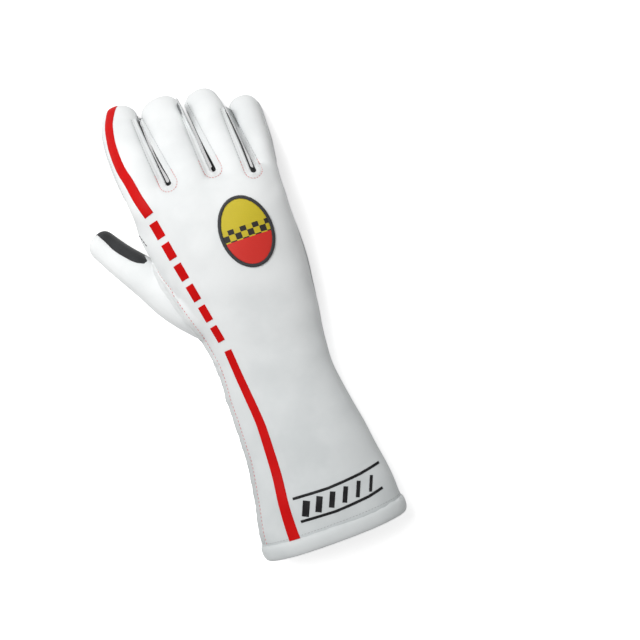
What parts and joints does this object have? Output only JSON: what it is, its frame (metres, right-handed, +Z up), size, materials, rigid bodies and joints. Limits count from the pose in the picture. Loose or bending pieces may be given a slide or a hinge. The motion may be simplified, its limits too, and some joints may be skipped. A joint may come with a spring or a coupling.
{
  "type": "racing glove",
  "caption": "Long-cuff racing glove for the right hand, with a fabric back, a gripped suede palm, raised outside seams, a padded wrist welt and a padded hem.",
  "frame": {"origin": "under the middle of the glove's box, on the surface that it lies on palm down", "axes": "+X to the little finger side, +Y from the cuff's mouth to the fingertips, +Z up off the back of the hand"},
  "size_m": [0.1516, 0.3392, 0.0611],
  "materials": {
    "white_fabric": "fine smooth knit, matt, with a soft sheen",
    "white_seam": "raised outside seam with a raw edge and dashed stitching",
    "padded_trim": "padded roll in matt fabric",
    "elastic": "gathered elastic, matt",
    "suede": "short-nap suede, matt",
    "silicone": "printed silicone, glossy",
    "red_print": "flat print on fabric, satin",
    "black_print": "flat print on fabric, satin",
    "patch_embroidery": "embroidered threads with a soft gloss",
    "patch_edge": "raised satin-stitched border"
  },
  "bodies": {
    "root": {"back_panel": "white_fabric", "cuff_palm": "white_fabric", "thumb_back": "white_fabric", "fourchette_index_middle": "white_fabric", "fourchette_middle_ring": "white_fabric", "fourchette_ring_little": "white_fabric", "side_seam": "white_seam", "outer_seam": "white_seam", "index_seam": "white_seam", "little_seam": "white_seam", "seam_lip_index_middle": "white_seam", "seam_lip_middle_ring": "white_seam", "seam_lip_ring_little": "white_seam", "thumb_piping": "white_seam", "hem": "padded_trim", "wrist_welt": "padded_trim", "wrist_elastic": "elastic", "palm_panel": "suede", "thumb_front": "suede", "index_stripe": "red_print", "cuff_stripe": "red_print", "stripe_bar_1": "red_print", "stripe_bar_2": "red_print", "stripe_bar_3": "red_print", "stripe_bar_4": "red_print", "stripe_bar_5": "red_print", "stripe_bar_6": "red_print", "back_patch": "patch_embroidery", "patch_border": "patch_edge", "cuff_line_upper": "black_print", "cuff_line_lower": "black_print", "cuff_bar_1": "black_print", "cuff_bar_2": "black_print", "cuff_bar_3": "black_print", "cuff_bar_4": "black_print", "cuff_bar_5": "black_print", "cuff_bar_6": "black_print", "tip_pad_index": "silicone", "tip_pad_middle": "silicone", "tip_pad_ring": "silicone", "tip_pad_little": "silicone", "knuckle_pad_index": "silicone", "knuckle_pad_middle": "silicone", "knuckle_pad_ring": "silicone", "knuckle_pad_little": "silicone", "palm_grip_upper": "silicone", "palm_grip_middle": "silicone", "palm_grip_lower": "silicone", "heel_ring": "silicone", "thumb_grip_1": "silicone", "thumb_grip_2": "silicone"}
  },
  "joints": []
}
